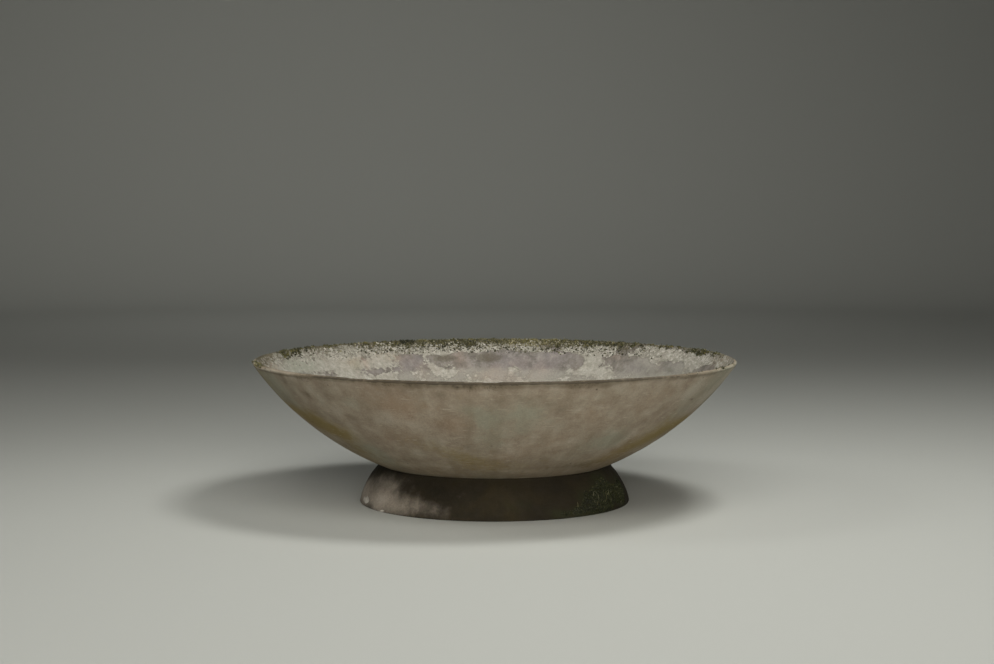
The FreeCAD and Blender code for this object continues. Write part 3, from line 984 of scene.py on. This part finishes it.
def add(tree, kind, sockets=(), stops=(), **settings):
    """Adds a node: settings are its properties, stops its colour ramp, and sockets are values or links."""
    made = tree.nodes.new(kind)
    for name, value in settings.items():
        setattr(made, name, value)
    for number, (position, colour) in enumerate(stops):
        ramp = made.color_ramp.elements
        stop = ramp[number] if number < len(ramp) else ramp.new(position)
        stop.position = position
        stop.color = linear(colour)
    for name, value in dict(sockets).items():
        if isinstance(value, bpy.types.NodeSocket):
            tree.links.new(value, made.inputs[name])
        else:
            made.inputs[name].default_value = value
    return made.outputs


print("mid grey as linear values:", [round(v, 3) for v in linear("#808080")])

# %% Layers of a finish
# Greys that lighten and darken evenly about the middle in an overlay.
GRAIN_GREYS = [(0.3, "#989898"), (0.5, "#bcbcbc"), (0.7, "#dcdcdc")]


def pattern(tree, size_mm, detail, roughness, stretch=(1, 1, 1)):
    """Cloudy noise on the piece's own coordinates, whose largest blots are about this many mm wide."""
    place = add(tree, "ShaderNodeTexCoord")["Object"]
    if stretch != (1, 1, 1):
        place = add(tree, "ShaderNodeMapping", {"Vector": place, "Scale": stretch})["Vector"]
    sockets = {"Vector": place, "Scale": 1 / (size_mm * MM), "Detail": detail, "Roughness": roughness}
    return add(tree, "ShaderNodeTexNoise", sockets)["Fac"]


def cover(tree, name, ragged, amount, low, high):
    """How much a layer covers: a field of the mesh, made ragged by noise, risen from low to high."""
    stored = add(tree, "ShaderNodeAttribute", attribute_name=name)["Fac"]
    shifted = add(tree, "ShaderNodeMath", {0: ragged, 1: amount, 2: stored}, operation="MULTIPLY_ADD")[0]
    sockets = {"Value": shifted, "From Min": low + amount / 2, "From Max": high + amount / 2}
    return add(tree, "ShaderNodeMapRange", sockets, interpolation_type="SMOOTHSTEP")[0]


def laid_over(tree, under, share, colour, strength=1.0):
    """One colour over another where share says so, with at most this strength."""
    part = add(tree, "ShaderNodeMath", {0: share, 1: strength}, operation="MULTIPLY")[0]
    sockets = {0: part, 6: under, 7: linear(colour) if isinstance(colour, str) else colour}
    return add(tree, "ShaderNodeMix", sockets, data_type="RGBA")[2]


def grained(tree, colour, grain, amount):
    """The colour made lighter and darker by a fine grain."""
    greys = add(tree, "ShaderNodeValToRGB", {"Fac": grain}, GRAIN_GREYS)["Color"]
    sockets = {0: amount, 6: colour, 7: greys}
    return add(tree, "ShaderNodeMix", sockets, data_type="RGBA", blend_type="OVERLAY")[2]


def new_finish(name):
    """An empty material, with its node tree and its Principled shader."""
    material = bpy.data.materials.new(name)
    material.use_nodes = True
    return material, material.node_tree, material.node_tree.nodes["Principled BSDF"]


def set_surface(tree, shader, colour, roughness, height, strength, distance_mm):
    """Links colour, roughness and a bump of this depth to the shader."""
    sockets = {"Height": height, "Strength": strength, "Distance": distance_mm * MM}
    bump = add(tree, "ShaderNodeBump", sockets)
    tree.links.new(colour, shader.inputs["Base Color"])
    tree.links.new(roughness, shader.inputs["Roughness"])
    tree.links.new(bump["Normal"], shader.inputs["Normal"])


print("layers:", ", ".join(layer.__name__ for layer in (pattern, cover, laid_over, grained)))

# %% [markdown]
# ## Weathered fibre cement, outside
# Fibre cement is cement with fine fibres, pressed wet onto a mould: matt, grey, with a slightly cloudy
# skin. Outdoors it turns a warm taupe as dust and algae settle in its pores. Under the rim, run-off
# left a dark olive edge with short drips, low down there are ochre blots, and thin pale scratches run
# level round the bowl.

# %% The outside finish
TAUPE = [(0.3, "#7c6f5f"), (0.5, "#908473"), (0.7, "#a29989")]
PIN_HOLE_GAP = 60
# Real grains of sand are under a millimetre, too fine to show, so they are drawn this many mm wide.
SAND_MM = 4


def outside_cement():
    """Taupe clouds, then casts, haze with painted highlights, ochre, run-off, scratches and pin holes, over
    a sandy bump.
    """
    material, tree, shader = new_finish("weathered fibre cement, moulded, outside")
    clouds = pattern(tree, 46, 6, 0.62)
    mottle = pattern(tree, 16, 5, 0.65)
    sand = pattern(tree, SAND_MM, 4, 0.7)
    level_marks = pattern(tree, 40, 2, 0.5, (1, 1, 14))
    colour = add(tree, "ShaderNodeValToRGB", {"Fac": clouds}, TAUPE)["Color"]
    colour = laid_over(tree, colour, cover(tree, "cast", mottle, 0.7, -0.05, 0.8), "#8c755f", 0.55)
    colour = laid_over(tree, colour, cover(tree, "cast", mottle, 0.7, -0.05, -0.8), "#8d8e7d", 0.65)
    colour = laid_over(tree, colour, cover(tree, "streak", clouds, 0.5, 0.45, 0.8), "#70634f", 0.35)
    # Pale haze and marks, with painted highlights on the right edge and on the lip.
    colour = laid_over(tree, colour, cover(tree, "pale_and_lit", mottle, 0.8, 0.25, 0.85), "#a59d8e", 0.6)
    colour = laid_over(tree, colour, cover(tree, "ochre", mottle, 1.2, 0.0, 1.3), "#7d6b38", 0.85)
    scratch = add(tree, "ShaderNodeMapRange", {"Value": level_marks, "From Min": 0.66, "From Max": 0.74})[0]
    colour = laid_over(tree, colour, scratch, "#b0a797", 0.5)
    colour = laid_over(tree, colour, cover(tree, "stain", mottle, 1.0, 0.2, 0.9), "#433a26", 0.46)
    colour = laid_over(tree, colour, cover(tree, "stain", mottle, 1.8, 0.9, 1.6), "#241f14", 0.75)
    colour = laid_over(tree, colour, cover(tree, "moss", sand, 1.0, 0.5, 0.85), "#423e2a", 0.8)
    colour = laid_over(tree, colour, cover(tree, "grime", sand, 2.4, 1.1, 1.4), "#443c29", 0.5)
    spacing = {"Vector": add(tree, "ShaderNodeTexCoord")["Object"], "Scale": 1 / (PIN_HOLE_GAP * MM)}
    holes = add(tree, "ShaderNodeTexVoronoi", spacing)["Distance"]
    hole = add(tree, "ShaderNodeMapRange", {"Value": holes, "From Min": 0.06, "From Max": 0.02})[0]
    colour = laid_over(tree, colour, hole, "#342e23", 0.7)
    colour = grained(tree, colour, sand, 0.35)
    dryness = {"Value": clouds, "From Min": 0.3, "From Max": 0.7, "To Min": 0.82, "To Max": 0.96}
    rough = add(tree, "ShaderNodeMapRange", dryness)[0]
    height = add(tree, "ShaderNodeMath", {0: mottle, 1: 1.4, 2: sand}, operation="MULTIPLY_ADD")[0]
    set_surface(tree, shader, colour, rough, height, 0.5, 1.6)
    shader.inputs["Specular IOR Level"].default_value = 0.3
    return material


bowl.data.materials.append(outside_cement())
print("outside finish:", bowl.data.materials[0].name)

# %% [markdown]
# ## Lime-crusted fibre cement, inside
# Inside, rain stood in the bowl. It drew lime out of the cement, which dried to a whitish crust with
# frayed edges, and where the crust fell off the bare cement shows a cool grey with a hint of violet.
# Near the rim the crust is pitted and peppered with dark growth, and the lowest part is browned by
# silt. A thin dark outline, a painted shadow, goes under the crust first, so that its edges read as a
# step and not as a change of paint.

# %% The inside finish
BARE_CEMENT = [(0.3, "#59544d"), (0.5, "#6f6a63"), (0.7, "#868179")]
LIME_CRUST = [(0.32, "#807c71"), (0.5, "#97948a"), (0.66, "#aaa79d")]


def inside_cement():
    """Grey cement with film and drips, lime crust on it, tints over both, and growth near the rim."""
    material, tree, shader = new_finish("lime-crusted fibre cement, inside")
    broad = pattern(tree, 120, 4, 0.6)
    clouds = pattern(tree, 30, 6, 0.65)
    crumbs = pattern(tree, 13, 7, 0.75)
    grit = pattern(tree, 6, 4, 0.65)
    sand = pattern(tree, SAND_MM, 3, 0.6)
    drips = pattern(tree, 16, 4, 0.6, (1, 1, 0.12))
    colour = add(tree, "ShaderNodeValToRGB", {"Fac": clouds}, BARE_CEMENT)["Color"]
    violet = add(tree, "ShaderNodeMapRange", {"Value": broad, "From Min": 0.46, "From Max": 0.62})[0]
    colour = laid_over(tree, colour, violet, "#7b7577", 0.4)
    runs = add(tree, "ShaderNodeMapRange", {"Value": drips, "From Min": 0.52, "From Max": 0.66})[0]
    colour = laid_over(tree, colour, runs, "#97938c", 0.4)
    colour = laid_over(tree, colour, cover(tree, "pale_and_lit", clouds, 0.8, 0.3, 1.0), "#8c8980", 0.9)
    frayed = add(tree, "ShaderNodeMix", {0: 0.5, 2: clouds, 3: crumbs})[0]
    # Painted shadow: a thin dark outline just outside the crust's edge.
    colour = laid_over(tree, colour, cover(tree, "lime", frayed, 2.2, -0.16, -0.02), "#6b655a", 0.4)
    lime = add(tree, "ShaderNodeValToRGB", {"Fac": crumbs}, LIME_CRUST)["Color"]
    crust = cover(tree, "lime", frayed, 2.2, -0.04, 0.10)
    colour = laid_over(tree, colour, crust, lime)
    colour = laid_over(tree, colour, cover(tree, "cast", clouds, 0.6, 0.1, 0.9), "#9a8578", 0.4)
    colour = laid_over(tree, colour, cover(tree, "cast", clouds, 0.6, -0.1, -0.9), "#86897b", 0.6)
    colour = laid_over(tree, colour, cover(tree, "ochre", clouds, 0.6, 0.2, 0.9), "#897962", 0.6)
    colour = laid_over(tree, colour, cover(tree, "streak", crumbs, 0.4, 0.55, 0.85), "#7b7368", 0.3)
    colour = laid_over(tree, colour, cover(tree, "silt", clouds, 0.7, 0.1, 0.9), "#645943", 0.75)
    colour = laid_over(tree, colour, cover(tree, "stain", crumbs, 1.4, 0.15, 0.85), "#4d4636", 0.6)
    colour = laid_over(tree, colour, cover(tree, "moss", crumbs, 1.0, 0.3, 0.75), "#625e48", 0.8)
    colour = laid_over(tree, colour, cover(tree, "grime", grit, 3.0, 0.65, 0.95), "#4a4533", 0.75)
    colour = laid_over(tree, colour, cover(tree, "moss", sand, 1.6, 0.7, 0.95), "#2f2d1e", 0.6)
    colour = grained(tree, colour, sand, 0.35)
    rough = add(tree, "ShaderNodeMapRange", {"Value": crust, "To Min": 0.82, "To Max": 0.97})[0]
    edge = add(tree, "ShaderNodeMath", {0: crust, 1: 1.2, 2: crumbs}, operation="MULTIPLY_ADD")[0]
    height = add(tree, "ShaderNodeMath", {0: sand, 1: 0.5, 2: edge}, operation="MULTIPLY_ADD")[0]
    set_surface(tree, shader, colour, rough, height, 0.5, 1.6)
    shader.inputs["Specular IOR Level"].default_value = 0.25
    return material


bowl.data.materials.append(inside_cement())
inside_row = (row_depth > BOWL_WALL * 0.75) & (np.roll(row_depth, -1) > BOWL_WALL * 0.5)
bowl.data.polygons.foreach_set("material_index", np.repeat(inside_row, bowl_columns).astype(np.int32))
print(f"inside finish: {bowl.data.materials[1].name}, on {inside_row.sum()} rows of faces")

# %% [markdown]
# ## Damp fibre cement with painted shade, on the ring
# The ring is the same cement, but it never dries: it sits in the bowl's shade and takes water from the
# floor, so algae darkened it. Its colour is painted nearly black-brown, partly for that dark growth and
# partly as painted shade for the bowl's overhang. Where it is rubbed, the pale cement shows again; on the
# left that pale is partly painted light.

# %% The ring's finish
# Partly painted shade: these browns are darker than the cement, standing in for the shade under the bowl.
SHADED_DAMP_CEMENT = [(0.3, "#1d180d"), (0.5, "#241e10"), (0.7, "#2f2816")]


def ring_cement():
    """Dark cement with painted shade, lighter where rubbed or chipped and, on the left, with painted light;
    green-black where moss roots.
    """
    material, tree, shader = new_finish("dark moulded fibre cement with painted shade, ring")
    broad = pattern(tree, 90, 4, 0.6)
    clouds = pattern(tree, 24, 6, 0.65)
    sand = pattern(tree, SAND_MM, 4, 0.7)
    colour = add(tree, "ShaderNodeValToRGB", {"Fac": broad}, SHADED_DAMP_CEMENT)["Color"]
    # Lighter where rubbed, and on the left partly painted light.
    colour = laid_over(tree, colour, cover(tree, "worn_and_lit", clouds, 0.7, 0.08, 1.15), "#a79d90", 0.95)
    # Painted shade: darker at the top under the bowl and, with damp, at the foot.
    colour = laid_over(tree, colour, cover(tree, "shade_and_damp", clouds, 0.6, 0.3, 1.0), "#241f14", 0.6)
    colour = laid_over(tree, colour, cover(tree, "chip", clouds, 0.4, 0.2, 0.5), "#beb9b0", 0.95)
    colour = laid_over(tree, colour, cover(tree, "moss", clouds, 0.7, 0.1, 0.6), "#2b2d18", 0.85)
    colour = grained(tree, colour, sand, 0.5)
    dryness = {"Value": clouds, "From Min": 0.3, "From Max": 0.7, "To Min": 0.75, "To Max": 0.95}
    rough = add(tree, "ShaderNodeMapRange", dryness)[0]
    height = add(tree, "ShaderNodeMath", {0: clouds, 1: 1.5, 2: sand}, operation="MULTIPLY_ADD")[0]
    set_surface(tree, shader, colour, rough, height, 0.6, 1.8)
    shader.inputs["Specular IOR Level"].default_value = 0.3
    return material


ring.data.materials.append(ring_cement())
print("ring finish:", ring.data.materials[0].name)

# %% [markdown]
# ## Moss, straw and lime pieces
# Moss is soft and swallows light, so it is fully rough with a little sheen, and each cushion or shoot
# takes its tint from green-black through olive to straw. The stalks are dry straw, and the flakes are
# the crust's own lime.

# %% Finishes of the small pieces
CUSHION_TINTS = [(0.0, "#2b2a1a"), (0.3, "#3f3d28"), (0.6, "#555139"), (0.86, "#6b674d"), (0.94, "#a09c8c")]
SHOOT_TINTS = [(0.0, "#2a2b1b"), (0.35, "#434329"), (0.6, "#5d5a36"), (0.85, "#7f7840"), (1.0, "#9e976d")]
RING_TINTS = [(0.0, "#181b0d"), (0.5, "#282c15"), (0.85, "#3a3d1f"), (0.97, "#504f31"), (1.0, "#7c765f")]
STRAW_TINTS = [(0.0, "#7d7650"), (0.5, "#a39b74"), (1.0, "#bdb595")]
FLAKE_TINTS = [(0.0, "#6d6a60"), (0.35, "#838075"), (0.7, "#959287"), (1.0, "#aba89e")]
# Mottling on the small pieces, in mm: coarser than real moss leaves, so that it shows.
MOTTLE_MM = 3


def tinted(name, stops, roughness, sheen):
    """A rough finish whose colour comes from each copy's own tint, with fine mottling."""
    material, tree, shader = new_finish(name)
    tint = add(tree, "ShaderNodeAttribute", attribute_name="tint")["Fac"]
    grain = pattern(tree, MOTTLE_MM, 3, 0.6)
    colour = grained(tree, add(tree, "ShaderNodeValToRGB", {"Fac": tint}, stops)["Color"], grain, 0.6)
    dryness = {"Value": grain, "To Min": roughness - 0.1, "To Max": roughness}
    rough = add(tree, "ShaderNodeMapRange", dryness)[0]
    set_surface(tree, shader, colour, rough, grain, 0.5, 1.0)
    shader.inputs["Sheen Weight"].default_value = sheen
    shader.inputs["Specular IOR Level"].default_value = 0.2
    return material


straw = tinted("dry grass straw", STRAW_TINTS, 0.9, 0.0)
rim_cushions.data.materials.append(tinted("cushion moss, dark", CUSHION_TINTS, 1.0, 0.15))
rim_shoots.data.materials.append(tinted("cushion moss, shoots", SHOOT_TINTS, 1.0, 0.15))
rim_stalks.data.materials.append(straw)
ring_moss.data.materials.append(tinted("cushion moss, damp", RING_TINTS, 1.0, 0.1))
ring_stalks.data.materials.append(straw)
lime_flakes.data.materials.append(tinted("lime crust, flaked", FLAKE_TINTS, 0.97, 0.0))
print("finishes so far:", len(bpy.data.materials))

# %% [markdown]
# ## Floor and backdrop
# A plain pale studio: a level floor that sweeps up into a round wall far behind everything, so that
# every view has the same calm ground. It is a profile turned round the axis, like the ring.

# %% Make the stage
FLOOR_RADIUS = 7.5
SWEEP_RADIUS = 2.5
WALL_HEIGHT = 6.0
STAGE_COLUMNS = 128
FLOOR_RINGS = 12
SWEEP_RINGS = 16


def make_stage():
    """A flat disc, a quarter-round sweep and an upright wall, carried round the axis."""
    flat = np.stack([np.linspace(1 * MM, FLOOR_RADIUS, FLOOR_RINGS), np.zeros(FLOOR_RINGS)], -1)
    sweep = arc((FLOOR_RADIUS, SWEEP_RADIUS), SWEEP_RADIUS, -np.pi / 2, 0, SWEEP_RINGS)[1:]
    profile = np.concatenate([flat, sweep, [[FLOOR_RADIUS + SWEEP_RADIUS, WALL_HEIGHT]]])
    r, z = profile.T[..., None, None]
    places = (circle(STAGE_COLUMNS) * r + z * (0, 0, 1)).reshape(-1, 3)
    faces = grid_faces(len(profile), STAGE_COLUMNS)[:-STAGE_COLUMNS]
    middle = [list(range(STAGE_COLUMNS))]
    mesh = bpy.data.meshes.new("studio_floor")
    mesh.from_pydata(places, [], faces.tolist() + middle)
    mesh.polygons.foreach_set("use_smooth", np.ones(len(mesh.polygons), bool))
    floor = bpy.data.objects.new("studio_floor", mesh)
    bpy.context.scene.collection.objects.link(floor)
    return floor


studio_floor = make_stage()
material, _, shader = new_finish("painted studio floor, matt")
shader.inputs["Base Color"].default_value = linear("#b8bab5")
shader.inputs["Roughness"].default_value = 0.7
shader.inputs["Specular IOR Level"].default_value = 0.2
studio_floor.data.materials.append(material)
print("stage:", len(studio_floor.data.polygons), "faces")

# %% [markdown]
# ## Light
# A strong soft lamp hangs above the bowl on the right and a faint one on the left, so it throws a dark
# soft shadow to the left and a lighter one to the right. A third lights the foreground. The ring is dark
# partly because hardly any light gets under the bowl's overhang, and partly because that shade is
# painted into its colour. The outside is lit by a wide lamp far in front and by light that comes back
# up from the pale floor. The last lamp only lifts the wall behind.

# %% Hang the lamps
WHITE = "#fffefa"
WARM_WHITE = "#fffaf2"


def soft_lamp(name, place, aim, width, length, watts, colour=WHITE, spread=180):
    """A rectangular lamp at a place, turned to face a point and hidden from the camera.

    Its light fans out over `spread` degrees.
    """
    data = bpy.data.lights.new(name, "AREA")
    data.spread = np.radians(spread)
    data.shape = "RECTANGLE"
    data.size = width
    data.size_y = length
    data.energy = watts
    data.color = linear(colour)[:3]
    lamp = bpy.data.objects.new(name, data)
    lamp.location = place
    east, north, up = np.subtract(aim, place)
    tip = np.arctan2(np.hypot(east, north), -up)
    lamp.rotation_euler = (tip, 0, np.arctan2(north, east) - np.pi / 2)
    lamp.visible_camera = False
    bpy.context.scene.collection.objects.link(lamp)


soft_lamp("left_lamp", (-2.6, -0.4, 2.6), (0.3, 0, 0.2), 1.0, 1.0, 3.0, spread=70)
soft_lamp("right_lamp", (1.2, -0.3, 3.4), (0, 0, 0.2), 1.0, 1.0, 59)
soft_lamp("front_lamp", (0, -3.4, 3.6), (0, -2.2, 0), 3.4, 2.0, 96)
soft_lamp("fill_lamp", (0.8, -7.2, 2.3), (0, 0, 0.3), 6.0, 2.0, 40, WARM_WHITE, spread=50)
soft_lamp("backdrop_lamp", (-0.6, 5.5, 3.0), (-0.6, 9.5, 0.8), 2.0, 1.0, 17)
world = bpy.data.worlds.new("studio air")
world.use_nodes = True
air = world.node_tree.nodes["Background"]
air.inputs["Color"].default_value = linear("#d9dcd8")
air.inputs["Strength"].default_value = 0.03
bpy.context.scene.world = world
bpy.context.scene.view_settings.view_transform = "Standard"

# %% [markdown]
# ## Camera
# The camera stands five metres away at about table height with a longish lens, tilted a little down.
# These values were fitted to the outline of the real bowl, as the photograph shows it.

# %% Place the camera
CAMERA_DISTANCE = 5.05
CAMERA_HEIGHT = 0.803
CAMERA_TILT_DOWN = 4.34
FOCAL_PIXELS = 2037
IMAGE_WIDTH = 994
AXIS_PIXEL = 494.5
SENSOR_WIDTH = 36

camera_data = bpy.data.cameras.new("camera")
camera_data.sensor_width = SENSOR_WIDTH
camera_data.lens = FOCAL_PIXELS / IMAGE_WIDTH * SENSOR_WIDTH
camera_data.shift_x = 0.5 - AXIS_PIXEL / IMAGE_WIDTH
camera = bpy.data.objects.new("camera", camera_data)
camera.location = (0, -CAMERA_DISTANCE, CAMERA_HEIGHT)
camera.rotation_euler = (np.radians(90 - CAMERA_TILT_DOWN), 0, 0)
bpy.context.scene.collection.objects.link(camera)
bpy.context.scene.camera = camera
print(f"lens {camera_data.lens:.1f} mm")
